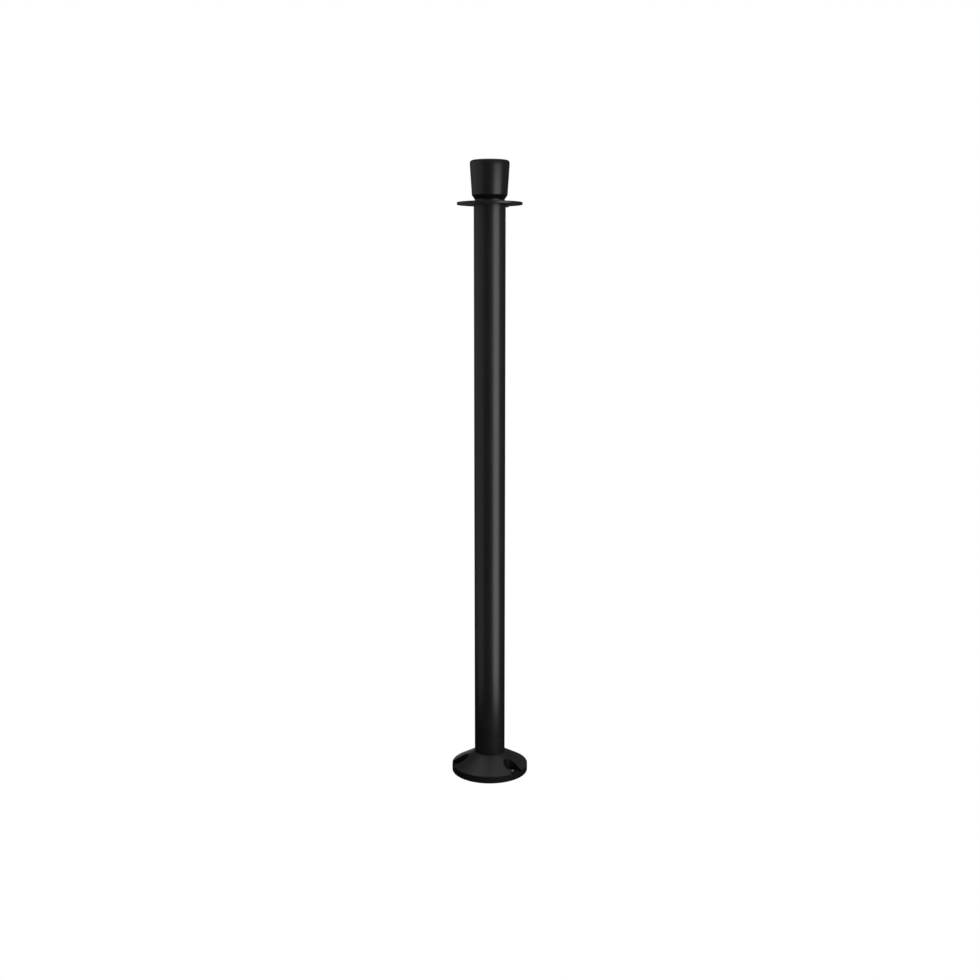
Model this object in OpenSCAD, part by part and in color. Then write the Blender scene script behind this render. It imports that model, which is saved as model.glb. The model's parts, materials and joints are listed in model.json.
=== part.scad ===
// Rope barrier stanchion, screwed to the floor.
// +Z is up. The origin is the centre of the floor flange's underside.
// -Y is the front, +X is to the right seen from the front.
// A full-length tie rod pulls flange, collar, tube and top plug together.
// The rope ring turns on the top plug's journal between two plastic washers,
// and the cap screws down on the rod's free upper end.

/* [Overall] */
// Height from the floor to the top of the cap
total_h = 993.3; // [900:0.1:1050]
// Outside diameter of the post
post_d = 50; // [49.5:0.1:50.5]
// Wall thickness of the post tube
tube_wall = 2; // [1.8:0.1:2]

/* [Floor flange] */
// Diameter of the floor flange
flange_d = 125.7; // [125:0.1:130]
// Height of the cone where it meets the post collar
flange_h = 32.8; // [32:0.1:34]
// Height at which the cone's slope would meet the rim
rim_h = 11.5; // [11:0.1:13]
// Rounding of the rim's top edge
rim_round = 0.6; // [0.4:0.1:1.5]
// Wall thickness of the cast cone, measured upright
flange_skin = 5.6; // [5:0.1:6]
// Width of the rim's standing face
rim_foot = 6; // [5:0.5:7]

/* [Screw pockets] */
// Pitch circle diameter of the floor screws
screw_pcd = 94; // [92:0.5:95]
// Diameter of each floor screw hole
screw_hole_d = 9; // [7:0.5:10]
// Width of each pocket
pocket_w = 22.8; // [20:0.1:23]
// Height of each pocket's floor
pocket_z = 8.0; // [7.5:0.1:8.5]
// Thickness of each pocket's floor
pocket_web = 6.4; // [6:0.1:7]
// Diameter of the countersink for each floor screw's head
screw_head_d = 16; // [14:0.5:17]
// Thickness of each pocket's cast wall
pocket_wall = 3.6; // [3:0.1:3.6]
// Direction of the right-hand pocket, from +X
pocket_right = -44; // [-50:0.5:-38]
// Direction of the left-hand pocket, from +X; the third stands midway behind
pocket_left = 187; // [180:0.5:194]

/* [Post collar] */
// Height of the seam between collar and tube
collar_top = 60; // [55:0.5:70]
// Chamfer each side of the seam
seam_chamfer = 0.3; // [0.1:0.05:0.5]

/* [Rope ring] */
// Diameter of the rope ring
ring_d = 102.6; // [100:0.1:106]
// Thickness of the rope ring
ring_t = 3.6; // [3:0.1:5]
// Rounding of the ring's edge
ring_round = 0.5; // [0.3:0.1:1]
// Number of hook holes
hook_count = 4; // [2:1:4]
// Diameter of each hook hole
hook_hole_d = 10; // [8:0.5:11]
// Pitch circle diameter of the hook holes
hook_pcd = 82; // [80:0.5:84]
// Rounding of each hook hole's edge
hook_round = 0.6; // [0.4:0.1:0.8]
// Direction of the accessory screw, from +X
accessory_turn = 42; // [25:1:60]
// Distance of the accessory screw from the post's axis
accessory_r = 36; // [34.5:0.5:38]

/* [Neck and cap] */
// Height between the ring and the cap
neck_h = 4.6; // [3.8:0.1:5]
// Diameter of the neck
neck_d = 47.2; // [46.8:0.1:48]
// Height of the cap
cap_h = 58.7; // [57.5:0.1:64]
// Diameter of the cap's lower edge
cap_low_d = 47; // [46.8:0.1:48]
// Diameter of the cap above its lower chamfer
cap_shoulder_d = 55.7; // [54.5:0.1:57]
// Height of the cap's lower chamfer
cap_chamfer_h = 6.3; // [5.5:0.1:7]
// Diameter of the cap at its widest
cap_wide_d = 62; // [60:0.1:64]
// Rounding of the cap's top edge
cap_round = 6.2; // [5:0.1:8]
// Wall thickness of the cap
cap_wall = 3; // [2.5:0.1:3.2]

/* [Tie rod] */
// Diameter of the tie rod
rod_d = 10; // [10:1:10]

/* [Hidden] */
$fn = 96;
eps = 0.01; // overlap of chamfer cuts with the face they start from
over = 1; // overshoot of cuts past a face
flange_cut_h = 40; // tall enough to leave the flange's top

steel = [0.72, 0.72, 0.70];
black = [0.13, 0.13, 0.135];
nylon = [0.16, 0.16, 0.16];
brass = [0.78, 0.62, 0.3];
plug_grey = [0.3, 0.3, 0.31];
screw_black = [0.1, 0.1, 0.1];

// clearances
slip = 0.05;
fit = 0.02;
washer_slip = 0.1;

post_r = post_d / 2;
bore_r = post_r - tube_wall;
hollow_r = 17; // hollows inside the collar and the top plug
flange_r = flange_d / 2;
slope = atan((flange_h - rim_h) / (flange_r - post_r));
rod_r = rod_d / 2;
rod_hole_r = rod_r + 0.25;

// washers and nuts on the rod
washer_r = 10;
washer_t = 2;
spring_t = 2.2;
nut_h = 8.4;
nut_af = 17; // across flats

// inside the flange
hub_r = 27;
nut_room_r = 12.5;
nut_room_z = 14;
lower_washer_z = nut_room_z - washer_t;
lower_spring_z = lower_washer_z - spring_t;
socket_z = 19;
spigot_r = 19;
dowel_r = 2;
dowel_at = 15;
dowel_depth = 4; // below the socket's floor
dowel_h = 11.8;
pocket_back = (pocket_right + pocket_left) / 2;
pocket_turns = [pocket_right, pocket_back, pocket_left];
rib_turns = [(pocket_right + pocket_back) / 2, (pocket_back + pocket_left) / 2, pocket_back - 180];

// seal groove round the collar's upper spigot
groove_z = collar_top + 22;
groove_h = 3.6;
groove_depth = 3.3; // inwards from the tube's bore

// stack at the top, from the cap's lower edge downwards
cap_z = total_h - cap_h;
ring_top = cap_z - neck_h;
ring_z = ring_top - ring_t;
plug_flange_t = 1.5;
ring_gap = 0.2;
tube_top = ring_z - ring_gap - plug_flange_t;
journal_r = 16;
journal_top = ring_top + 0.85;
lower_ring_washer_t = 1.48;
lower_ring_washer_z = ring_z - fit - lower_ring_washer_t;
upper_ring_washer_t = 0.8;
neck_top = cap_z - 0.6;

// inside the cap
pilot_r = 20.45;
pilot_top = cap_z + 3.3;
clamp_spring_z = pilot_top + washer_t;
clamp_nut_z = clamp_spring_z + spring_t;
insert_z = cap_z + 20.3;
insert_r = 8;
insert_h = 13;
rod_top = insert_z + 14.5;
rod_bottom = 0.5;
cap_shoulder_z = cap_z + cap_chamfer_h;
cap_round_z = total_h - cap_round;
cap_wide_z = cap_round_z - 2; // where the flare ends

accessory_thread_r = 2;

// ---- shared helpers; every turned profile lists [radius, height] points ----

function arc(centre, radius, from, to, steps) =
    [for (i = [0:steps]) let (turn = from + (to - from) * i / steps)
        centre + radius * [cos(turn), sin(turn)]];

// repeats its children at each turn about the post's axis
module each_turn(turns) {
    for (turn = turns) rotate([0, 0, turn]) children();
}

module flat_ring(outer_r, inner_r, z, thick) {
    translate([0, 0, z]) difference() {
        cylinder(r = outer_r, h = thick);
        translate([0, 0, -over]) cylinder(r = inner_r, h = thick + 2 * over);
    }
}

// hexagon nut, chamfered both sides, with a plain bore for its thread
module hex_nut(z) {
    corner_r = nut_af / sqrt(3);
    face_r = nut_af / 2 - 0.2;
    chamfer_r = corner_r + 0.1;
    chamfer_h = 0.95;
    nut_bore_r = rod_r + fit;
    mouth = 0.7; // chamfer at each end of the bore
    translate([0, 0, z]) difference() {
        intersection() {
            cylinder(r = corner_r, h = nut_h, $fn = 6);
            rotate_extrude() polygon([[0, 0], [face_r, 0], [chamfer_r, chamfer_h],
                [chamfer_r, nut_h - chamfer_h], [face_r, nut_h], [0, nut_h]]);
        }
        translate([0, 0, -over]) cylinder(r = nut_bore_r, h = nut_h + 2 * over, $fn = 64);
        translate([0, 0, -eps])
            cylinder(r1 = rod_r + mouth, r2 = nut_bore_r, h = mouth, $fn = 64);
        translate([0, 0, nut_h - mouth + eps])
            cylinder(r1 = nut_bore_r, r2 = rod_r + mouth, h = mouth, $fn = 64);
    }
}

// split spring washer, its ends cut at a slant
module spring_washer(z) {
    split_w = 1.6;
    split_l = 8;
    translate([0, 0, z]) difference() {
        cylinder(r = 9.05, h = spring_t);
        translate([0, 0, -over]) cylinder(r = 5.2, h = spring_t + 2 * over);
        translate([4, 0, spring_t / 2]) rotate([38, 0, 0])
            translate([0, -split_w / 2, -split_l / 2]) cube([split_l, split_w, split_l]);
    }
}

// hole for each dowel
module dowel_holes(z, height) {
    each_turn([0, 180]) translate([dowel_at, 0, z])
        cylinder(r = dowel_r + fit, h = height, $fn = 48);
}

// ---- floor flange ----

// outline of a screw pocket, seen from above
module pocket_plan(grow) {
    half_w = pocket_w / 2 + grow;
    translate([screw_pcd / 2, 0]) circle(r = half_w, $fn = 72);
    translate([screw_pcd / 2, -half_w]) square([flange_r, 2 * half_w]);
}

// outer form of the flange: rim, rounded edge, cone
module flange_body() {
    foot_chamfer = 0.5;
    tangent = rim_round * tan((90 - slope) / 2);
    rotate_extrude($fn = 180)
        polygon(concat(
            [[0, 0], [flange_r - foot_chamfer, 0], [flange_r, foot_chamfer]],
            arc([flange_r - rim_round, rim_h - tangent], rim_round, 0, 90 - slope, 8),
            [[post_r, flange_h], [0, flange_h]]));
}

// height of the cast cone's underside at a radius
function skin_z(radius) = rim_h + (flange_r - radius) * tan(slope) - flange_skin;

// hollow under the cone, between the hub and the rim
module flange_hollow() {
    outer_r = flange_r - rim_foot;
    outer_z = skin_z(outer_r);
    inner_z = skin_z(hub_r);
    rotate_extrude($fn = 180)
        polygon([[hub_r, -over], [outer_r, -over], [outer_r, outer_z - 1.5],
            [outer_r - 1.5, outer_z + 0.2], [hub_r + 2, inner_z - 1.2], [hub_r, inner_z - 3]]);
}

// what is taken out under the cone: pocket walls and ribs are left standing
module flange_underside() {
    rib_w = 5;
    rib_z = 1.5;
    difference() {
        flange_hollow();
        each_turn(pocket_turns) translate([0, 0, pocket_z - pocket_web])
            linear_extrude(flange_cut_h) pocket_plan(pocket_wall);
        each_turn(rib_turns) translate([hub_r - 1, -rib_w / 2, rib_z])
            cube([flange_r - hub_r, rib_w, flange_cut_h]);
    }
}

// pocket, screw hole and 90 degree countersink
module pocket_cuts() {
    hole_r = screw_hole_d / 2;
    head_r = screw_head_d / 2;
    sink_h = head_r - hole_r;
    sink_over = 0.5;
    each_turn(pocket_turns) {
        translate([0, 0, pocket_z]) linear_extrude(flange_cut_h) pocket_plan(0);
        translate([screw_pcd / 2, 0, -over])
            cylinder(r = hole_r, h = pocket_z + 2 * over, $fn = 64);
        translate([screw_pcd / 2, 0, pocket_z - sink_h])
            cylinder(r1 = hole_r, r2 = head_r + sink_over, h = sink_h + sink_over, $fn = 64);
    }
}

module floor_flange() {
    mouth_h = 0.6;
    color(black) difference() {
        flange_body();
        flange_underside();
        pocket_cuts();
        // socket for the collar's lower spigot, with a chamfered mouth
        translate([0, 0, socket_z]) cylinder(r = spigot_r + fit, h = flange_cut_h);
        translate([0, 0, flange_h - mouth_h])
            cylinder(r1 = spigot_r, r2 = spigot_r + 0.7, h = mouth_h + eps);
        // rod hole and the room for its nut
        translate([0, 0, -over]) cylinder(r = rod_hole_r, h = flange_cut_h, $fn = 64);
        translate([0, 0, -over]) cylinder(r = nut_room_r, h = nut_room_z + over);
        dowel_holes(socket_z - dowel_depth - 0.2, 10);
    }
}

// ---- collar and lower fixings ----

module post_collar() {
    spigot_chamfer = 0.6;
    land_r = bore_r - 0.1; // upper spigot, inside the tube
    groove_r = bore_r - groove_depth;
    top_z = collar_top + 36;
    lead_in = 1.5;
    color(black) difference() {
        rotate_extrude($fn = 128)
            polygon([[rod_hole_r, socket_z], [spigot_r - spigot_chamfer, socket_z],
                [spigot_r, socket_z + spigot_chamfer], [spigot_r, flange_h],
                [post_r, flange_h], [post_r, collar_top - seam_chamfer],
                [post_r - seam_chamfer, collar_top], [land_r, collar_top],
                [land_r, groove_z], [groove_r, groove_z],
                [groove_r, groove_z + groove_h], [land_r, groove_z + groove_h],
                [land_r, top_z - lead_in], [land_r - lead_in, top_z],
                [hollow_r, top_z], [hollow_r, collar_top - 8], [rod_hole_r, collar_top - 12]]);
        dowel_holes(socket_z - over, 8.2 + over);
    }
}

module collar_dowels() {
    chamfer = 0.4;
    color(steel) each_turn([0, 180]) translate([dowel_at, 0, socket_z - dowel_depth])
        rotate_extrude($fn = 48)
            polygon([[0, 0], [dowel_r - chamfer, 0], [dowel_r, chamfer],
                [dowel_r, dowel_h - chamfer], [dowel_r - chamfer, dowel_h], [0, dowel_h]]);
}

module collar_seal() {
    color("black") translate([0, 0, groove_z + groove_h / 2])
        rotate_extrude($fn = 96) translate([bore_r - groove_depth / 2, 0])
            circle(r = 1.6, $fn = 32);
}

module lower_washer() {
    color(steel) flat_ring(washer_r, rod_hole_r, lower_washer_z, washer_t);
}

module lower_spring_washer() {
    color(steel) spring_washer(lower_spring_z);
}

module lower_nut() {
    color(steel) hex_nut(lower_spring_z - nut_h);
}

// ---- rod and tube ----

module tie_rod() {
    chamfer = 0.9;
    color(steel) rotate_extrude($fn = 64)
        polygon([[0, rod_bottom], [rod_r - chamfer, rod_bottom], [rod_r, rod_bottom + chamfer],
            [rod_r, rod_top - chamfer], [rod_r - chamfer, rod_top], [0, rod_top]]);
}

// pierced disc with a hub, halfway up the tube
module rod_spacer() {
    disc_h = 8;
    hub_h = 14;
    color(nylon) translate([0, 0, (collar_top + tube_top) / 2]) difference() {
        union() {
            cylinder(r = bore_r - 0.15, h = disc_h);
            cylinder(r = 10, h = hub_h);
        }
        translate([0, 0, -over]) cylinder(r = rod_r + 0.1, h = hub_h + 6, $fn = 64);
        each_turn([0:60:300]) translate([15.8, 0, -over])
            cylinder(r = 4.2, h = disc_h + 2 * over, $fn = 48);
    }
}

module post_tube() {
    bore_chamfer = 0.4;
    color(black) rotate_extrude($fn = 128)
        polygon([[bore_r, collar_top + bore_chamfer], [bore_r + bore_chamfer, collar_top],
            [post_r - seam_chamfer, collar_top], [post_r, collar_top + seam_chamfer],
            [post_r, tube_top], [bore_r, tube_top]]);
}

// ---- rope ring and its bearing ----

// skirt in the tube, flange on its end, washer seat and ring journal
module top_plug() {
    flange_top = tube_top + plug_flange_t;
    rim_r = post_r - slip;
    skirt_r = bore_r - slip;
    skirt_h = 30;
    seat_r = 22.6;
    chamfer = 0.3;
    color(plug_grey) rotate_extrude($fn = 128)
        polygon([[rod_hole_r, tube_top - 12], [hollow_r, tube_top - 12],
            [hollow_r, tube_top - skirt_h + 1], [bore_r - 1, tube_top - skirt_h],
            [skirt_r, tube_top - skirt_h + 1], [skirt_r, tube_top - chamfer],
            [bore_r - chamfer, tube_top], [rim_r, tube_top],
            [rim_r, flange_top], [seat_r, flange_top],
            [seat_r, lower_ring_washer_z], [journal_r, lower_ring_washer_z],
            [journal_r, journal_top - chamfer], [journal_r - chamfer, journal_top],
            [rod_hole_r, journal_top]]);
}

module lower_ring_washer() {
    color(nylon)
        flat_ring(22.4, journal_r + washer_slip, lower_ring_washer_z, lower_ring_washer_t);
}

// ring blank with a rounded edge and its bearing bore
module ring_blank() {
    edge_r = ring_d / 2 - ring_round;
    rotate_extrude($fn = 180)
        polygon(concat([[journal_r + slip, ring_z]],
            arc([edge_r, ring_z + ring_round], ring_round, -90, 0, 6),
            arc([edge_r, ring_top - ring_round], ring_round, 0, 90, 6),
            [[journal_r + slip, ring_top]]));
}

// hook hole cutter with rounded edges
module hook_cut() {
    mouth_r = hook_hole_d / 2 + hook_round;
    rotate_extrude($fn = 64)
        polygon(concat([[0, ring_z - over], [mouth_r, ring_z - over]],
            arc([mouth_r, ring_z + hook_round], hook_round, 270, 180, 5),
            arc([mouth_r, ring_top - hook_round], hook_round, 180, 90, 5),
            [[mouth_r, ring_top + over], [0, ring_top + over]]));
}

module at_accessory() {
    rotate([0, 0, accessory_turn]) translate([accessory_r, 0, 0]) children();
}

module rope_ring() {
    color(black) difference() {
        ring_blank();
        each_turn([for (i = [0:hook_count - 1]) i * 360 / hook_count])
            translate([hook_pcd / 2, 0, 0]) hook_cut();
        at_accessory() translate([0, 0, ring_z - over])
            cylinder(r = accessory_thread_r + fit, h = ring_t + 2 * over, $fn = 48);
    }
}

// button-head screw, turned up into the ring from below
module accessory_screw() {
    head_r = 3.8;
    head_h = 2.5;
    head_flat_r = 1.9;
    head_edge = 0.25;
    steps = 7; // round the head
    key_af = 2.5;
    key_depth = 1.3;
    tip_z = ring_top - 0.2;
    tip_chamfer = 0.5;
    color(screw_black) at_accessory() difference() {
        rotate_extrude($fn = 64)
            polygon(concat([[0, ring_z - head_h], [head_flat_r, ring_z - head_h]],
                [for (i = [1:steps])
                    [head_flat_r + (head_r - head_flat_r) * sin(i * 90 / steps),
                     ring_z - head_edge - (head_h - head_edge) * cos(i * 90 / steps)]],
                [[head_r, ring_z - fit], [accessory_thread_r, ring_z - fit],
                 [accessory_thread_r, tip_z - tip_chamfer],
                 [accessory_thread_r - tip_chamfer, tip_z], [0, tip_z]]));
        translate([0, 0, ring_z - head_h - over])
            cylinder(r = key_af / sqrt(3), h = key_depth + over, $fn = 6);
    }
}

module upper_ring_washer() {
    color(nylon) flat_ring(23.2, journal_r + washer_slip, ring_top + fit, upper_ring_washer_t);
}

// ---- neck and upper fixings ----

// neck on the journal's end, with the pilot that centres the cap
module neck_collar() {
    neck_r = neck_d / 2;
    pilot_chamfer = 0.6;
    color(black) rotate_extrude($fn = 128)
        polygon([[rod_hole_r, journal_top], [neck_r - 0.3, journal_top],
            [neck_r, journal_top + 0.3], [neck_r, neck_top - 0.2], [neck_r - 0.2, neck_top],
            [pilot_r, neck_top], [pilot_r, pilot_top - pilot_chamfer],
            [pilot_r - pilot_chamfer, pilot_top], [rod_hole_r, pilot_top]]);
}

module clamp_washer() {
    color(steel) flat_ring(washer_r, rod_hole_r, pilot_top, washer_t);
}

module clamp_spring_washer() {
    color(steel) rotate([0, 0, 130]) spring_washer(clamp_spring_z);
}

module clamp_nut() {
    color(steel) rotate([0, 0, 17]) hex_nut(clamp_nut_z);
}

// ---- cap ----

module cap_slip_washer() {
    color(nylon) flat_ring(23.1, pilot_r + slip, neck_top + fit, cap_z - neck_top - 2 * fit);
}

// knurled, grooved insert, with a plain bore for its thread
module cap_insert() {
    chamfer = 0.6;
    groove_r = 7.3;
    bore = rod_r + slip;
    color(brass) difference() {
        translate([0, 0, insert_z]) rotate_extrude($fn = 96)
            polygon([[bore + chamfer, 0], [insert_r - chamfer, 0], [insert_r, chamfer],
                [insert_r, 4.6], [groove_r, 5.2], [groove_r, 6.8], [insert_r, 7.4],
                [insert_r, insert_h - chamfer], [insert_r - chamfer, insert_h],
                [bore, insert_h], [bore, chamfer]]);
        each_turn([0:30:330]) translate([insert_r + 0.35, 0, insert_z - over])
            cylinder(r = 0.6, h = insert_h + 2 * over, $fn = 24);
    }
}

// outer form of the cap
module cap_outer() {
    low_r = cap_low_d / 2;
    shoulder_r = cap_shoulder_d / 2;
    wide_r = cap_wide_d / 2;
    rotate_extrude($fn = 128)
        polygon(concat([[0, cap_z], [low_r - 0.3, cap_z], [low_r, cap_z + 0.2],
            [shoulder_r - 0.35, cap_shoulder_z - 0.45],
            [shoulder_r - 0.05, cap_shoulder_z - 0.15],
            [shoulder_r, cap_shoulder_z + 0.3], [wide_r - 0.12, cap_wide_z]],
            arc([wide_r - cap_round, cap_round_z], cap_round, 0, 90, 14),
            [[0, total_h]]));
}

// hollow of the cap
module cap_inner() {
    mouth_r = pilot_r + slip;
    wide_r = cap_wide_d / 2;
    rotate_extrude($fn = 128)
        polygon(concat([[0, cap_z - over], [mouth_r, cap_z - over], [mouth_r, cap_z + 3.6],
            [cap_shoulder_d / 2 - cap_wall, cap_shoulder_z + 1.2],
            [wide_r - cap_wall - 0.14, cap_wide_z]],
            arc([wide_r - cap_round, cap_round_z], cap_round - cap_wall, 0, 90, 8),
            [[0, total_h - cap_wall]]));
}

module cap_shell() {
    web_w = 2.5;
    color(black) difference() {
        cap_outer();
        difference() {
            cap_inner();
            // boss for the insert, and its four webs
            translate([0, 0, insert_z - 0.5]) cylinder(r = 11.5, h = 60);
            each_turn([0:90:270]) translate([0, -web_w / 2, insert_z + 14])
                cube([28, web_w, 40]);
        }
        // seat for the insert, and room for the rod's end above it
        translate([0, 0, insert_z - over]) cylinder(r = insert_r + fit, h = insert_h + over + fit);
        translate([0, 0, insert_z]) cylinder(r = rod_r + 0.6, h = 19, $fn = 64);
    }
}

floor_flange();
post_collar();
collar_dowels();
collar_seal();
lower_washer();
lower_spring_washer();
lower_nut();
tie_rod();
rod_spacer();
post_tube();
top_plug();
lower_ring_washer();
rope_ring();
accessory_screw();
upper_ring_washer();
neck_collar();
clamp_washer();
clamp_spring_washer();
clamp_nut();
cap_slip_washer();
cap_insert();
cap_shell();
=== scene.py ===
# A rope-barrier post, standing upright on the floor at z = 0 with its axis on Z.
# From the bottom up: floor flange, collar, tube, neck, and cap; the rope ring is a flat
# plate with four holes. The camera looks along +Y. Shapes are in mm, the scene in metres.
import json
import math

import bmesh
import bpy
import numpy as np
from mathutils import Matrix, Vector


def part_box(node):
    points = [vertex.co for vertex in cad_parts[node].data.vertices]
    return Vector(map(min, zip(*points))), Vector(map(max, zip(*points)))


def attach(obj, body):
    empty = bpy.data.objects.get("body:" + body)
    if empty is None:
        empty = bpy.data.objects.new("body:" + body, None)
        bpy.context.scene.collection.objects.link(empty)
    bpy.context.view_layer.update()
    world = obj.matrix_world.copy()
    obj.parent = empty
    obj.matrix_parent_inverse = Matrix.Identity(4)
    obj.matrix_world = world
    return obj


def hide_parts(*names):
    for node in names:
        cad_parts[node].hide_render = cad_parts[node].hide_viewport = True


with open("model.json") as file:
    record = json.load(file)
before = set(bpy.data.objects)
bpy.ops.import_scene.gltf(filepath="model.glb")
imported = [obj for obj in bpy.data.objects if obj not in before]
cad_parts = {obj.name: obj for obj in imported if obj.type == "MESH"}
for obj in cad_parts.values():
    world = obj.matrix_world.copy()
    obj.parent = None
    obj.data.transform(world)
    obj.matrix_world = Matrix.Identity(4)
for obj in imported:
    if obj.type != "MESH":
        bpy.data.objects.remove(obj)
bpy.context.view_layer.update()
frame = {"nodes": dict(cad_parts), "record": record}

MM = 0.001
WHITE = (1.0, 1.0, 1.0, 1.0)
nodes = frame["nodes"]
slot_of = {part["node"]: part["material_slot"] for part in frame["record"]["subparts"]}
scene = bpy.context.scene


# ---------------------------------------------------------------- sizes, in mm and degrees
def box_mm(node):
    lo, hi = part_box(node)
    return lo / MM, hi / MM


def polar(radius, degrees):
    angle = math.radians(degrees)
    return radius * math.cos(angle), radius * math.sin(angle)


tube_lo, tube_hi = box_mm("post_tube")
collar_lo, _ = box_mm("post_collar")
_, flange_hi = box_mm("floor_flange")
ring_lo, ring_hi = box_mm("rope_ring")
neck_lo, neck_hi = box_mm("neck_collar")
cap_lo, cap_hi = box_mm("cap_shell")
insert_lo, _ = box_mm("cap_insert")
screw_lo, screw_hi = box_mm("accessory_screw")

POST_R = tube_hi.x
BORE_R = POST_R - 2.0
SEAM_Z = tube_lo.z          # where the tube meets the collar
FLANGE_R = flange_hi.x
FLANGE_TOP = flange_hi.z
ROD_HOLE_R = 5.25
SPIGOT_R = 19.0             # collar's lower end, in the flange socket
PIN_HOLE_R = 2.02           # small plain holes in collar, flange and ring
PIN_OFFSET = 15             # of the collar and flange holes, along X either side of the axis
FLOOR_SCREW_R = 47          # circle of the three floor screws
FLOOR_SCREW_ANGLES = (-44.0, 71.5, 187.0)


# ---------------------------------------------------------------- node helpers
class Tree:
    """Shorthand for building a shader node tree. Inputs are values or sockets."""

    def __init__(self, owner):
        owner.use_nodes = True
        self.tree = owner.node_tree
        self.tree.nodes.clear()

    def new(self, kind, inputs=None, **props):
        node = self.tree.nodes.new("ShaderNode" + kind)
        for key, value in props.items():
            setattr(node, key, value)
        for key, value in (inputs or {}).items():
            if isinstance(value, bpy.types.NodeSocket):
                self.tree.links.new(value, node.inputs[key])
            elif value is not None:
                node.inputs[key].default_value = value
        return node

    def coords(self, kind):
        return self.new("TexCoord").outputs[kind]

    def xyz(self, vector):
        return self.new("SeparateXYZ", {0: vector}).outputs

    def math(self, operation, a, b=None, c=None, clamp=False):
        node = self.new("Math", {0: a, 1: b, 2: c}, operation=operation, use_clamp=clamp)
        return node.outputs[0]

    def add(self, a, b, clamp=False):
        return self.math("ADD", a, b, clamp=clamp)

    def sub(self, a, b, clamp=False):
        return self.math("SUBTRACT", a, b, clamp=clamp)

    def mul(self, a, b):
        return self.math("MULTIPLY", a, b)

    def vary(self, value, noise, amount, clamp=False):
        """The value moved up and down by a noise, spread by amount."""
        return self.add(value, self.mul(self.sub(noise, 0.5), amount), clamp)

    def step(self, value, lo, hi, start=0.0, end=1.0):
        """Smooth step from start at lo to end at hi."""
        return self.new("MapRange", {
            "Value": value, "From Min": lo, "From Max": hi, "To Min": start, "To Max": end,
        }, interpolation_type="SMOOTHSTEP").outputs[0]

    def noise(self, vector, scale, detail, rough):
        return self.new("TexNoise", {
            "Vector": vector, "Scale": scale, "Detail": detail, "Roughness": rough,
        }).outputs["Fac"]

    def mix(self, factor, a, b):
        return self.new("Mix", {0: factor, 6: a, 7: b}, data_type="RGBA").outputs[2]

    def overlay(self, tone, mask, colour, amount):
        """Mixes colour over tone, by mask times amount."""
        return self.mix(self.mul(mask, amount), tone, colour)

    def bump(self, height, strength, distance, normal=None):
        return self.new("Bump", {
            "Strength": strength, "Distance": distance, "Height": height, "Normal": normal,
        }).outputs[0]

    def edge(self, radius):
        """0 on flats, towards 1 on convex and concave edges nearer than radius."""
        bevel = self.new("Bevel", {"Radius": radius}, samples=4).outputs[0]
        normal = self.new("NewGeometry").outputs["Normal"]
        dot = self.new("VectorMath", {0: bevel, 1: normal}, operation="DOT_PRODUCT")
        return self.step(dot.outputs["Value"], lo=0.995, hi=0.90)

    def to_camera(self, vector):
        return self.new("VectorTransform", {0: vector}, vector_type="VECTOR",
                        convert_from="WORLD", convert_to="CAMERA").outputs[0]

    def surface(self, kind, inputs):
        """The material's one surface shader, joined to its output."""
        shader = self.new(kind, inputs)
        self.new("OutputMaterial", {0: shader.outputs[0]})


def new_material(name):
    material = bpy.data.materials.new(name)
    return material, Tree(material)


def grey(value, tint=(1.0, 1.0, 1.0)):
    return (value * tint[0], value * tint[1], value * tint[2], 1.0)


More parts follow.
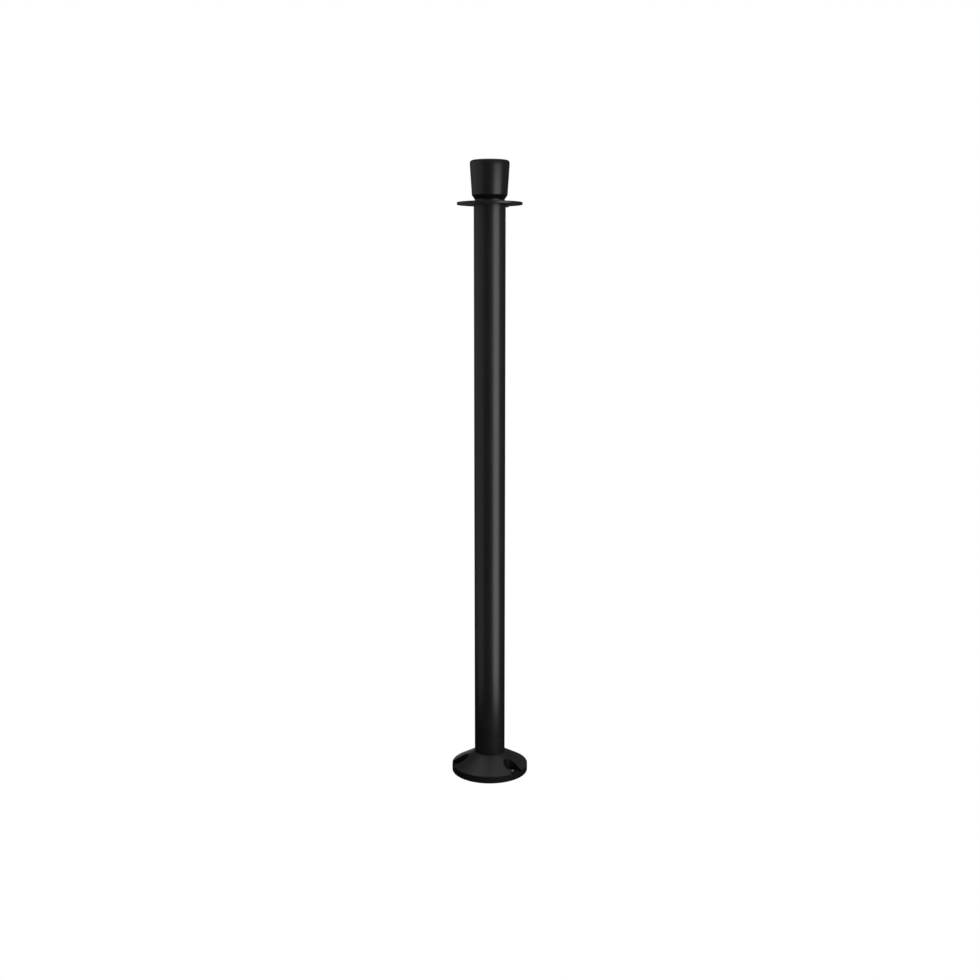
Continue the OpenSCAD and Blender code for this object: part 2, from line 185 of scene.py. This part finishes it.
# ---------------------------------------------------------------- materials
def powder_coat(name, base, rough, cast=0.0, glint_patches=()):
    """Satin black powder coat: orange peel, fine grain, faint patches, some wear and dust.
    cast is the strength of a coarse casting bump. The last argument lists the centres, in
    metres, of pale bare-metal spots that catch a glint: a painted glint, not seen wear."""
    material, tree = new_material(name)
    coords = tree.coords("Object")
    up = tree.xyz(tree.new("NewGeometry").outputs["Normal"])[2]

    patch = tree.noise(coords, scale=22.0, detail=3.0, rough=0.55)
    grain = tree.noise(coords, scale=5200.0, detail=2.0, rough=0.6)
    peel = tree.noise(coords, scale=620.0, detail=2.0, rough=0.45)
    speck = tree.noise(coords, scale=1900.0, detail=1.0, rough=0.5)
    cloud = tree.noise(coords, scale=75.0, detail=4.0, rough=0.6)

    scuff = tree.mul(tree.edge(radius=0.0007), tree.step(cloud, lo=0.46, hi=0.70))
    dust = tree.mul(tree.step(up, lo=0.55, hi=0.98), tree.step(patch, lo=0.38, hi=0.72))

    dark = grey(base * 0.86)
    light = grey(base * 1.16, tint=(1.0, 1.0, 1.02))
    tone = tree.mix(tree.step(patch, lo=0.3, hi=0.7), dark, light)
    tone = tree.overlay(tone, tree.step(speck, lo=0.68, hi=0.80), grey(base * 2.4), amount=0.35)
    tone = tree.overlay(tone, dust, grey(0.055, tint=(1.03, 1.0, 0.96)), amount=0.16)
    tone = tree.overlay(tone, scuff, grey(0.065), amount=0.30)
    # painted glint: pale bare-metal spots at the listed centres, made to catch a glint; not
    # real wear
    glint_metal = None
    for centre in glint_patches:
        away = tree.new("VectorMath", {0: coords, 1: centre}, operation="DISTANCE")
        ragged = tree.vary(away.outputs["Value"], cloud, amount=0.0018)
        glint_mask = tree.step(ragged, lo=0.0018, hi=0.0029, start=1.0, end=0.0)
        glint_metal = glint_mask if glint_metal is None else tree.math("MAXIMUM", glint_metal, glint_mask)
    # painted glint: the spots take a pale metal colour and full metallic
    if glint_metal is not None:
        tone = tree.mix(glint_metal, tone, grey(0.93, tint=(1.02, 1.0, 0.97)))

    roughness = tree.vary(rough, patch, amount=0.10)
    roughness = tree.vary(roughness, grain, amount=0.10)
    roughness = tree.add(roughness, tree.mul(dust, 0.06))               # dust dulls
    roughness = tree.sub(roughness, tree.mul(scuff, 0.08), clamp=True)  # scuffs polish

    normal = tree.bump(peel, strength=0.32, distance=0.00006)
    normal = tree.bump(grain, strength=0.22, distance=0.00001, normal=normal)
    if cast:
        casting = tree.noise(coords, scale=240.0, detail=5.0, rough=0.62)
        normal = tree.bump(casting, strength=cast, distance=0.00014, normal=normal)
    tree.surface("BsdfPrincipled", {
        "Base Color": tone, "Metallic": glint_metal, "Roughness": roughness,
        "IOR": 1.5, "Specular IOR Level": 0.5, "Normal": normal})
    return material


def turned_metal(name, colour, rough, ring_scale, tarnish, metal=1.0):
    """Turned or plated metal: fine lathe rings, a little tarnish, brighter edges."""
    material, tree = new_material(name)
    coords = tree.coords("Object")
    x, y, z = tree.xyz(coords)
    radius = tree.math("SQRT", tree.add(tree.mul(x, x), tree.mul(y, y)))
    # noise over radius and height alone makes rings about Z
    section = tree.new("CombineXYZ", {0: tree.mul(radius, ring_scale),
                                      1: tree.mul(z, ring_scale)}).outputs[0]
    rings = tree.noise(section, scale=1.0, detail=2.0, rough=0.6)
    blot = tree.noise(coords, scale=180.0, detail=4.0, rough=0.6)

    red, green, blue = colour
    stained = (red * 0.42, green * 0.40, blue * 0.36, 1.0)
    bright = (*(min(1, channel * 1.25 + 0.03) for channel in colour), 1.0)
    tone = tree.overlay((*colour, 1.0), tree.step(blot, lo=0.42, hi=0.72), stained,
                        amount=tarnish)
    tone = tree.overlay(tone, tree.edge(radius=0.0004), bright, amount=0.25)
    roughness = tree.vary(rough, blot, amount=0.30)
    tree.surface("BsdfPrincipled", {
        "Base Color": tone, "Metallic": metal,
        "Roughness": tree.vary(roughness, rings, amount=0.16, clamp=True),
        "Normal": tree.bump(rings, strength=0.25, distance=0.00002)})
    return material


def polymer(name, base, rough):
    """Moulded nylon or rubber: fine spark-eroded grain, patchy sheen, pale rubbed edges."""
    material, tree = new_material(name)
    coords = tree.coords("Object")
    grain = tree.noise(coords, scale=3600.0, detail=3.0, rough=0.6)
    patch = tree.noise(coords, scale=120.0, detail=3.0, rough=0.55)
    tone = tree.mix(tree.step(patch, lo=0.3, hi=0.7), grey(base * 0.85), grey(base * 1.2))
    tone = tree.overlay(tone, tree.edge(radius=0.0004), grey(base * 1.8 + 0.01), amount=0.25)
    tree.surface("BsdfPrincipled", {
        "Base Color": tone,
        "Roughness": tree.vary(rough, patch, amount=0.2, clamp=True),
        "Normal": tree.bump(grain, strength=0.35, distance=0.00003)})
    return material


def glint_patch_centre(screw_angle):
    """Centre, in metres, of a pale bare-metal spot on a floor screw's countersink, made to
    catch a painted glint; not seen wear.
    """
    screw_x, screw_y = polar(FLOOR_SCREW_R * MM, screw_angle)
    off_x, off_y = polar(0.0074, 48)
    return screw_x + off_x, screw_y + off_y, 0.0073


MATS = {
    "collar_coat": powder_coat("powder_coat_collar", base=0.009, rough=0.40),
    "black_powder_coat": powder_coat("powder_coat_tube", base=0.008, rough=0.34),
    # the cast coat carries the painted glint spots, one in each screw pocket
    "black_cast_coat": powder_coat("powder_coat_cast", base=0.009, rough=0.37, cast=0.15,
                                   glint_patches=[glint_patch_centre(angle) for angle in FLOOR_SCREW_ANGLES]),
    "zinc_plate": turned_metal("zinc_plate", (0.60, 0.62, 0.64), rough=0.30,
                               ring_scale=4200.0, tarnish=0.25),
    "bright_steel": turned_metal("ground_steel", (0.56, 0.55, 0.54), rough=0.22,
                                 ring_scale=9000.0, tarnish=0.15),
    "black_nylon": polymer("black_nylon", base=0.014, rough=0.5),
    "grey_nylon": polymer("grey_nylon", base=0.30, rough=0.55),
    "seal_rubber": polymer("seal_rubber", base=0.010, rough=0.62),
    "black_oxide": turned_metal("black_oxide", (0.035, 0.035, 0.038), rough=0.34,
                                ring_scale=6000.0, tarnish=0.3, metal=0.85),
    "insert_brass": turned_metal("turned_brass", (0.71, 0.50, 0.20), rough=0.24,
                                 ring_scale=6000.0, tarnish=0.3),
}

for name, obj in nodes.items():
    obj.data.materials.clear()
    obj.data.materials.append(MATS[slot_of[name]])


# ---------------------------------------------------------------- mesh helpers
def rounded(corners, seg_deg):
    """Closed (r, z) profile from (r, z, fillet) corners; seg_deg is the arcs' longest step."""
    outline = []
    for i, (r, z, fillet) in enumerate(corners):
        if fillet <= 0:
            outline.append((r, z))
            continue
        corner = np.array([r, z], float)
        back = np.array(corners[i - 1][:2], float) - corner
        ahead = np.array(corners[(i + 1) % len(corners)][:2], float) - corner
        back_length, ahead_length = np.linalg.norm(back), np.linalg.norm(ahead)
        back, ahead = back / back_length, ahead / ahead_length
        half = math.acos(max(-1, min(1, float(back @ ahead)))) / 2
        cut = fillet / math.tan(half)
        longest = 0.49 * min(back_length, ahead_length)
        if cut > longest:
            cut = longest
            fillet = cut * math.tan(half)
        start, end = corner + back * cut, corner + ahead * cut
        bisector = (back + ahead) / np.linalg.norm(back + ahead)
        centre = corner + bisector * fillet / math.sin(half)
        first = math.atan2(*(start - centre)[::-1])
        last = math.atan2(*(end - centre)[::-1])
        sweep = (last - first + math.pi) % (2 * math.pi) - math.pi
        steps = max(2, int(math.ceil(abs(math.degrees(sweep)) / seg_deg)))
        for j in range(steps + 1):
            angle = first + sweep * j / steps
            outline.append((float(centre[0] + fillet * math.cos(angle)),
                            float(centre[1] + fillet * math.sin(angle))))
    return outline


def subdivide(profile, limit):
    """Adds points so that straight runs are no longer than limit."""
    out = []
    for i, start in enumerate(profile):
        end = profile[(i + 1) % len(profile)]
        out.append(start)
        extra = int(math.hypot(end[0] - start[0], end[1] - start[1]) // limit)
        for j in range(1, extra + 1):
            share = j / (extra + 1)
            out.append((start[0] + (end[0] - start[0]) * share,
                        start[1] + (end[1] - start[1]) * share))
    return out


def add_object(name, bm):
    mesh = bpy.data.meshes.new(name)
    bm.to_mesh(mesh)
    bm.free()
    obj = bpy.data.objects.new(name, mesh)
    scene.collection.objects.link(obj)
    return obj


def lathe(name, profile, segs, half_step=False):
    """Solid of revolution from a closed (r, z) profile; half_step turns it half a segment."""
    bm = bmesh.new()
    turn = math.pi / segs if half_step else 0.0
    rings = []
    for r, z in profile:
        if r < 1e-6:
            rings.append([bm.verts.new((0, 0, z * MM))] * segs)
            continue
        angles = [turn + 2 * math.pi * k / segs for k in range(segs)]
        rings.append([bm.verts.new((r * MM * math.cos(angle), r * MM * math.sin(angle), z * MM))
                      for angle in angles])
    for i, ring in enumerate(rings):
        after = rings[(i + 1) % len(rings)]
        for k in range(segs):
            j = (k + 1) % segs
            # points on the axis repeat, which leaves a triangle or nothing
            corners = list(dict.fromkeys((ring[k], ring[j], after[j], after[k])))
            if len(corners) > 2:
                bm.faces.new(corners)
    bmesh.ops.recalc_face_normals(bm, faces=bm.faces)
    return add_object(name, bm)


def place(obj, x, y, turn=0.0):
    """Turns a tool about Z by degrees, then moves it, in its mesh."""
    obj.data.transform(Matrix.Translation((x * MM, y * MM, 0))
                       @ Matrix.Rotation(math.radians(turn), 4, "Z"))
    return obj


def prism(outline, z0, z1, turn):
    """Upright tool over a closed plan outline, turned about Z."""
    bm = bmesh.new()
    low = [bm.verts.new((x * MM, y * MM, z0 * MM)) for x, y in outline]
    high = [bm.verts.new((x * MM, y * MM, z1 * MM)) for x, y in outline]
    bm.faces.new(low[::-1])
    bm.faces.new(high)
    for i in range(len(outline)):
        j = (i + 1) % len(outline)
        bm.faces.new((low[i], low[j], high[j], high[i]))
    bmesh.ops.recalc_face_normals(bm, faces=bm.faces)
    return place(add_object("tool", bm), 0, 0, turn)


def radial_bar(r0, r1, width, z0, z1, turn):
    half = width / 2
    return prism([(r0, -half), (r1, -half), (r1, half), (r0, half)], z0, z1, turn)


def pin_hole(x, y, z0, z1, segs=32):
    profile = [(0, z0), (PIN_HOLE_R, z0), (PIN_HOLE_R, z1), (0, z1)]
    return place(lathe("tool", profile, segs), x, y)


def pin_holes(z0, z1):
    return [pin_hole(PIN_OFFSET * side, 0, z0, z1) for side in (1, -1)]


def boolean(obj, tools, operation="DIFFERENCE"):
    """Applies the tools in turn, then removes them."""
    for tool in tools:
        modifier = obj.modifiers.new("cut", "BOOLEAN")
        modifier.operation = operation
        modifier.solver = "EXACT"
        modifier.object = tool
    depsgraph = bpy.context.evaluated_depsgraph_get()
    depsgraph.update()
    mesh = bpy.data.meshes.new_from_object(obj.evaluated_get(depsgraph))
    old = obj.data
    obj.modifiers.clear()
    obj.data = mesh
    bpy.data.meshes.remove(old)
    for tool in tools:
        tool_mesh = tool.data
        bpy.data.objects.remove(tool)
        bpy.data.meshes.remove(tool_mesh)


def finish_piece(obj, node, material, body="post", sharp=30.0, bevel=0.0):
    """Cleans, bevels and shades a piece, then has it stand for its CAD node."""
    mesh = obj.data
    mesh.materials.clear()
    mesh.materials.append(MATS[material])
    bm = bmesh.new()
    bm.from_mesh(mesh)
    bmesh.ops.remove_doubles(bm, verts=bm.verts, dist=1e-7)
    bmesh.ops.dissolve_degenerate(bm, edges=bm.edges, dist=1e-7)
    bmesh.ops.recalc_face_normals(bm, faces=bm.faces)
    if bevel:
        edges = [edge for edge in bm.edges
                 if len(edge.link_faces) == 2 and edge.calc_face_angle() > math.radians(sharp)]
        bmesh.ops.bevel(bm, geom=edges, offset=bevel * MM, offset_type="OFFSET", segments=3,
                        profile=0.5, affect="EDGES", clamp_overlap=True, loop_slide=True)
        bmesh.ops.remove_doubles(bm, verts=bm.verts, dist=1e-7)
    for face in bm.faces:
        face.smooth = True
    bm.to_mesh(mesh)
    bm.free()
    mesh.set_sharp_from_angle(angle=math.radians(sharp))
    weighted = obj.modifiers.new("weighted_normals", "WEIGHTED_NORMAL")
    weighted.keep_sharp = True
    weighted.weight = 60
    weighted.mode = "FACE_AREA_WITH_ANGLE"
    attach(obj, "post")  # every piece starts on the post, then joins its own body
    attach(obj, body)
    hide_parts(node)


# All corner tables below are (radius, z, fillet).
# ---------------------------------------------------------------- tube
tube = lathe("visual_post_tube", subdivide(rounded([
    (BORE_R, SEAM_Z + 0.4, 0.1), (BORE_R + 0.4, SEAM_Z, 0.1), (POST_R, SEAM_Z, 0.35),
    (POST_R, tube_hi.z, 0.12), (BORE_R, tube_hi.z, 0.1)], seg_deg=15), limit=60), segs=192)
finish_piece(tube, "post_tube", "black_powder_coat")

# ---------------------------------------------------------------- collar
COLLAR_Z = collar_lo.z
PLUG_R = BORE_R - 0.1       # the part inside the tube
PLUG_TOP = SEAM_Z + 36
GROOVE_R = BORE_R - 3.3

collar = lathe("visual_post_collar", rounded([
    (ROD_HOLE_R, COLLAR_Z, 0.0), (SPIGOT_R - 0.6, COLLAR_Z, 0.1),
    (SPIGOT_R, COLLAR_Z + 0.6, 0.1), (SPIGOT_R, FLANGE_TOP, 0.0),
    (POST_R, FLANGE_TOP, 0.30), (POST_R, SEAM_Z, 0.35),
    (PLUG_R, SEAM_Z, 0.0), (PLUG_R, SEAM_Z + 22, 0.1), (GROOVE_R, SEAM_Z + 22, 0.2),
    (GROOVE_R, SEAM_Z + 25.6, 0.2), (PLUG_R, SEAM_Z + 25.6, 0.1),
    (PLUG_R, SEAM_Z + 34.5, 0.4), (BORE_R - 1.6, PLUG_TOP, 0.3),
    (17, PLUG_TOP, 0.3), (17, SEAM_Z - 8, 0.8), (ROD_HOLE_R, SEAM_Z - 12, 0.3),
], seg_deg=15), segs=192)
boolean(collar, pin_holes(COLLAR_Z - 1, COLLAR_Z + 8.2))
finish_piece(collar, "post_collar", "collar_coat")

# ---------------------------------------------------------------- neck
NECK_R = neck_hi.x
NECK_TOP = cap_lo.z - 0.6
PILOT_R = 20.45             # upper step, inside the cap's lower rim

neck = lathe("visual_neck_collar", rounded([
    (ROD_HOLE_R, neck_lo.z, 0.1), (NECK_R, neck_lo.z, 0.4), (NECK_R, NECK_TOP, 0.3),
    (PILOT_R, NECK_TOP, 0.15), (PILOT_R, neck_hi.z, 0.6), (ROD_HOLE_R, neck_hi.z, 0.2),
], seg_deg=15), segs=160)
finish_piece(neck, "neck_collar", "black_powder_coat")

# ---------------------------------------------------------------- cap
CAP_Z, CAP_TOP = cap_lo.z, cap_hi.z
CAP_R = cap_hi.x
CAP_MOUTH_R = 20.5
CAP_FOOT_R = 23.5
SHOULDER_R = 27.85
SHOULDER_Z = CAP_Z + 6.3
BARREL_Z = CAP_TOP - 8.2    # top of the side, below the crown's rounding
WALL = 3.0
BOSS_R = 11.5
INSERT_Z = insert_lo.z
INSERT_HOLE_R = 8.02
INSERT_HOLE_Z = INSERT_Z + 13.02

cap = lathe("visual_cap_shell", rounded([
    # outside, upwards to the axis
    (CAP_MOUTH_R, CAP_Z, 0.3), (CAP_FOOT_R, CAP_Z, 0.35), (SHOULDER_R, SHOULDER_Z, 0.9),
    (CAP_R - 0.12, BARREL_Z, 25.0), (CAP_R + 0.02, CAP_TOP, 6.2), (0.0, CAP_TOP, 0.0),
    # stepped hole in the central boss
    (0.0, INSERT_Z + 19.0, 0.0), (5.6, INSERT_Z + 19.0, 0.4), (5.6, INSERT_HOLE_Z, 0.0),
    (INSERT_HOLE_R, INSERT_HOLE_Z, 0.0), (INSERT_HOLE_R, INSERT_Z - 0.5, 0.2),
    # outside of the boss, then the shell's inside, downwards
    (BOSS_R, INSERT_Z - 0.5, 0.3), (BOSS_R, CAP_TOP - WALL, 1.2),
    (CAP_R - WALL, CAP_TOP - WALL, 3.2), (CAP_R - 3.14, BARREL_Z, 10.0),
    (SHOULDER_R - WALL, SHOULDER_Z + 1.2, 0.6), (CAP_MOUTH_R, CAP_Z + 3.6, 0.3),
], seg_deg=6), segs=192)
boolean(cap, [radial_bar(9.5, CAP_R - 2.0, 2.5, INSERT_Z + 14.0, CAP_TOP - 1.5, 90 * quarter)
              for quarter in range(4)], "UNION")
finish_piece(cap, "cap_shell", "black_powder_coat", body="cap")

# ---------------------------------------------------------------- rope ring
RING_Z, RING_TOP, RING_R = ring_lo.z, ring_hi.z, ring_hi.x
RING_BORE_R = 16.05
ROPE_HOLE_R = 5.0
ROPE_HOLE_CIRCLE = 41
LIP = 0.6                   # rounding of the rope holes' rims


def rope_hole(turn):
    rim = ROPE_HOLE_R + LIP
    profile = [(0, RING_Z - 1), (rim, RING_Z - 1)]
    for centre_z, first in ((RING_Z + LIP, 270), (RING_TOP - LIP, 180)):
        for degrees in range(first, first - 91, -18):
            out, up = polar(LIP, degrees)
            profile.append((rim + out, centre_z + up))
    profile += [(rim, RING_TOP + 1), (0, RING_TOP + 1)]
    return place(lathe("tool", profile, segs=72), *polar(ROPE_HOLE_CIRCLE, turn))


ring = lathe("visual_rope_ring", rounded([
    (RING_BORE_R, RING_Z, 0.15), (RING_R, RING_Z, 0.5), (RING_R, RING_TOP, 0.5),
    (RING_BORE_R, RING_TOP, 0.15)], seg_deg=11), segs=192, half_step=True)
ring_tools = [rope_hole(90 * quarter) for quarter in range(4)]
ring_tools.append(pin_hole((screw_lo.x + screw_hi.x) / 2, (screw_lo.y + screw_hi.y) / 2,
                           RING_Z - 1, RING_TOP + 1, segs=40))
boolean(ring, ring_tools)
finish_piece(ring, "rope_ring", "black_powder_coat", body="ring")

# ---------------------------------------------------------------- floor flange
RIM_TOP = 11.5
SLOPE = math.atan((FLANGE_TOP - RIM_TOP) / (FLANGE_R - POST_R))
SOCKET_R = SPIGOT_R + 0.02
SOCKET_Z = 19.0
RECESS_R, RECESS_TOP = 12.5, 14.0    # round recess in the middle of the underside
HOLLOW_IN, HOLLOW_OUT = 27.0, FLANGE_R - 6.0
SKIN = 5.6                  # height of metal between the hollow and the cone
POCKET_R = 11.4
POCKET_FLOOR = 8.0
POCKET_WALL = 3.6
UNDER_Z = 1.6               # underside of the metal below the pockets
RIB_ANGLES = (13.75, 129.25, -108.5)
TOOL_TOP = 45               # clear of the cone


def cone_z(r):
    return RIM_TOP + (FLANGE_R - r) * math.tan(SLOPE)


def pocket(grow, z0, angle, steps=40):
    """Slot about a floor screw, round at its inner end and open outwards."""
    radius = POCKET_R + grow
    outline = []
    for i in range(steps + 1):
        x, y = polar(radius, 90 + 180 * i / steps)
        outline.append((FLOOR_SCREW_R + x, y))
    far = FLOOR_SCREW_R + FLANGE_R
    outline += [(far, -radius), (far, radius)]
    return prism(outline, z0, TOOL_TOP, angle)


def screw_hole(angle):
    """Countersunk hole through a pocket's floor."""
    top = POCKET_FLOOR + 0.5
    profile = [(0, -2), (4.5, -2), (4.5, POCKET_FLOOR - 3.5), (8.5, top), (0, top)]
    return place(lathe("tool", profile, segs=64), *polar(FLOOR_SCREW_R, angle))


flange = lathe("visual_floor_flange", subdivide(rounded([
    (RECESS_R, 0.0, 0.3), (FLANGE_R, 0.0, 0.5), (FLANGE_R, RIM_TOP, 0.6),
    (POST_R, FLANGE_TOP, 0.0), (SOCKET_R + 0.7, FLANGE_TOP, 0.0),
    (SOCKET_R, FLANGE_TOP - 0.7, 0.0), (SOCKET_R, SOCKET_Z, 0.3), (ROD_HOLE_R, SOCKET_Z, 0.2),
    (ROD_HOLE_R, RECESS_TOP, 0.0), (RECESS_R, RECESS_TOP, 0.3),
], seg_deg=8), limit=12), segs=240, half_step=True)

# the hollow underneath leaves the pockets' walls and three ribs standing
hollow = lathe("tool", rounded([
    (HOLLOW_IN, -1, 0), (HOLLOW_OUT, -1, 0), (HOLLOW_OUT, cone_z(HOLLOW_OUT) - SKIN, 2.0),
    (HOLLOW_IN, cone_z(HOLLOW_IN) - SKIN, 3.0)], seg_deg=12), segs=180)
boolean(hollow, [pocket(POCKET_WALL, UNDER_Z, angle) for angle in FLOOR_SCREW_ANGLES]
        + [radial_bar(HOLLOW_IN - 1, FLANGE_R, 5.0, 1.5, TOOL_TOP, angle)
           for angle in RIB_ANGLES])
boolean(flange, [hollow])
boolean(flange, [pocket(0, POCKET_FLOOR, angle) for angle in FLOOR_SCREW_ANGLES]
        + [screw_hole(angle) for angle in FLOOR_SCREW_ANGLES]
        + pin_holes(14.8, 25))
finish_piece(flange, "floor_flange", "black_cast_coat", sharp=28.0, bevel=0.25)

# ---------------------------------------------------------------- CAD pieces still rendered
for obj in nodes.values():
    if not obj.hide_render:
        obj.modifiers.new("weld", "WELD").merge_threshold = 1e-7

# ---------------------------------------------------------------- studio floor
# plain white to the camera, and absent from the lighting
bm = bmesh.new()
bmesh.ops.create_grid(bm, x_segments=8, y_segments=8, size=30)
floor = add_object("studio_floor", bm)
floor.location = (0, 0, -0.0003)
material, tree = new_material("studio_white")
tree.surface("Emission", {"Color": WHITE, "Strength": 1.0})
floor.data.materials.append(material)
floor.visible_diffuse = False
floor.visible_glossy = False
floor.visible_transmission = False
floor.visible_shadow = False

# ---------------------------------------------------------------- world
# The studio is a soft light tent described by direction. It turns with the camera's
# heading, as a turntable shot does, so each side is lit the way the front is.
world = bpy.data.worlds.new("studio")
scene.world = world
sky = Tree(world)
direction = sky.coords("Generated")
rise = sky.xyz(direction)[2]
view = sky.xyz(sky.to_camera(direction))
tilt = sky.xyz(sky.to_camera((0, 0, 1)))[2]    # share of world-up along the view axis
level_share = sky.math("SQRT", sky.math("MAXIMUM", sky.sub(1.0, sky.mul(tilt, tilt)), 1e-4))
forward = sky.math("DIVIDE", sky.sub(view[2], sky.mul(rise, tilt)), level_share)
elevation = sky.math("DEGREES", sky.math(
    "ARCSINE", sky.math("MINIMUM", sky.math("MAXIMUM", rise, -1.0), 1.0)))
# azimuths are 0 towards the camera (near) or away from it (far), both + to the right
near = sky.math("DEGREES", sky.math("ARCTAN2", view[0], sky.mul(forward, -1.0)))
far = sky.math("DEGREES", sky.math("ARCTAN2", view[0], forward))


def band(value, limits, soft):
    rising = sky.step(value, limits[0] - soft[0], limits[0] + soft[0])
    falling = sky.step(value, limits[1] - soft[1], limits[1] + soft[1], start=1.0, end=0.0)
    return sky.mul(rising, falling)


# level, azimuth from, azimuth limits and softness, elevation limits and softness
PANELS = [
    (0.68, near, (-190, 190), (1, 1), (58, 95), (6, 6)),          # overhead
    (0.07, near, (-190, 190), (1, 1), (36, 95), (14, 6)),         # its soft skirt
    (0.42, far, (-28, -2), (5, 4), (-5, 7), (4, 3)),              # low, behind the left
    (0.05, near, (-60, 60), (20, 25), (-70, 60), (10, 20)),       # front
    (0.11, near, (-15, 95), (32, 25), (-90, -18.5), (1, 1.5)),    # the near floor
    (0.05, near, (88, 122), (8, 12), (-17, 40), (4, 12)),         # right
]
total = sky.step(elevation, lo=-20, hi=22, start=0.026, end=0.105)
for level, azimuth, az_limits, az_soft, el_limits, el_soft in PANELS:
    patch = sky.mul(band(azimuth, az_limits, az_soft), band(elevation, el_limits, el_soft))
    total = sky.add(total, sky.mul(patch, level))
tent = sky.new("Background", {"Color": WHITE, "Strength": total})
backdrop = sky.new("Background", {"Color": WHITE, "Strength": 1.0})
camera_ray = sky.new("LightPath").outputs["Is Camera Ray"]
seen = sky.new("MixShader", {0: camera_ray, 1: tent.outputs[0], 2: backdrop.outputs[0]})
sky.new("OutputWorld", {0: seen.outputs[0]})

scene.view_settings.view_transform = "Standard"
scene.view_settings.look = "None"
scene.view_settings.exposure = 0.0
scene.view_settings.gamma = 1.0

# ---------------------------------------------------------------- camera
lens = bpy.data.cameras.new("camera")
camera = bpy.data.objects.new("camera", lens)
scene.collection.objects.link(camera)
lens.sensor_width = 36.0
lens.lens = 44.076
lens.clip_start = 0.05
lens.clip_end = 100
camera.location = (0.00046, -1.9144, 0.80525)
camera.rotation_euler = (math.radians(80.248), 0, 0)
scene.camera = camera

# ---------------------------------------------------------------- soft boxes
# They stand close to the post, so their ends show as the fades at the post's foot
# and cap. They hang from a turntable that takes the camera's heading.
table = bpy.data.objects.new("light_turntable", None)
scene.collection.objects.link(table)
follow = table.constraints.new("COPY_ROTATION")
follow.target = camera
follow.use_x = follow.use_y = False


def soft_box_material(name, width, height, level, edge, foot, low):
    material, tree = new_material(name)
    x, y, _ = tree.xyz(tree.coords("UV"))
    across = tree.mul(tree.step(x, 0.0, edge / width),
                      tree.step(x, 1.0 - edge / width, 1.0, start=1.0, end=0.0))
    upright = tree.mul(tree.step(y, 0.0, foot / height),
                       tree.step(y, 1.0 - edge / height, 1.0, start=1.0, end=0.0))
    upright = tree.mul(upright, tree.math("MULTIPLY_ADD", y, 1.0 - low, low))
    glow = tree.new("Emission", {
        "Color": WHITE, "Strength": tree.mul(tree.mul(across, upright), level)})
    # a louvre: seen steeply from below the sheet is clear, so the foot sees the overhead light
    way = tree.xyz(tree.new("NewGeometry").outputs["Incoming"])[2]
    clear = tree.new("BsdfTransparent")
    tree.surface("MixShader", {0: tree.step(way, lo=-0.50, hi=-0.22),
                               1: clear.outputs[0], 2: glow.outputs[0]})
    return material


def soft_box(name, azimuth, distance, s0, s1, z0, z1, level, edge, foot, low):
    """Upright emissive sheet facing the post."""
    s0, s1, z0, z1 = s0 - edge / 2, s1 + edge / 2, z0 - foot / 2, z1 + edge / 2
    bm = bmesh.new()
    corners = ((s0, 0, z0), (s1, 0, z0), (s1, 0, z1), (s0, 0, z1))
    face = bm.faces.new([bm.verts.new(corner) for corner in corners])
    uv = bm.loops.layers.uv.new("sheet")
    for loop, corner in zip(face.loops, ((0, 0), (1, 0), (1, 1), (0, 1))):
        loop[uv].uv = corner
    sheet = add_object(name, bm)
    angle = math.radians(azimuth)
    sheet.location = (distance * math.sin(angle), -distance * math.cos(angle), 0)
    sheet.rotation_euler = (0, 0, angle)
    sheet.parent = table
    sheet.data.materials.append(
        soft_box_material(name, s1 - s0, z1 - z0, level, edge, foot, low))
    sheet.visible_camera = False
    sheet.visible_shadow = False


# Azimuth in degrees from the camera, + to the right; lengths in metres. s0, s1 (along the
# sheet) and z0, z1 are where it falls to half its level. edge and foot are the widths of
# the fades, foot at the bottom; low is the share of level at the bottom.
SOFT_BOXES = [
    # name, azimuth, distance, s0, s1, z0, z1, level, edge, foot, low
    ("key", 47.5, 0.25, -0.1144, 0.0890, 0.046, 0.975, 2.75, 0.018, 0.018, 1.0),
    ("spill", 10.0, 0.26, -0.060, 0.060, 0.045, 1.20, 0.17, 0.05, 0.05, 1.0),
    ("fill", -76.0, 0.25, -0.140, 0.170, 0.043, 1.25, 0.46, 0.05, 0.02, 0.88),
    ("side", -109.0, 0.25, -0.060, 0.090, 0.10, 1.25, 0.50, 0.06, 0.30, 0.35),
]
for row in SOFT_BOXES:
    soft_box(*row)
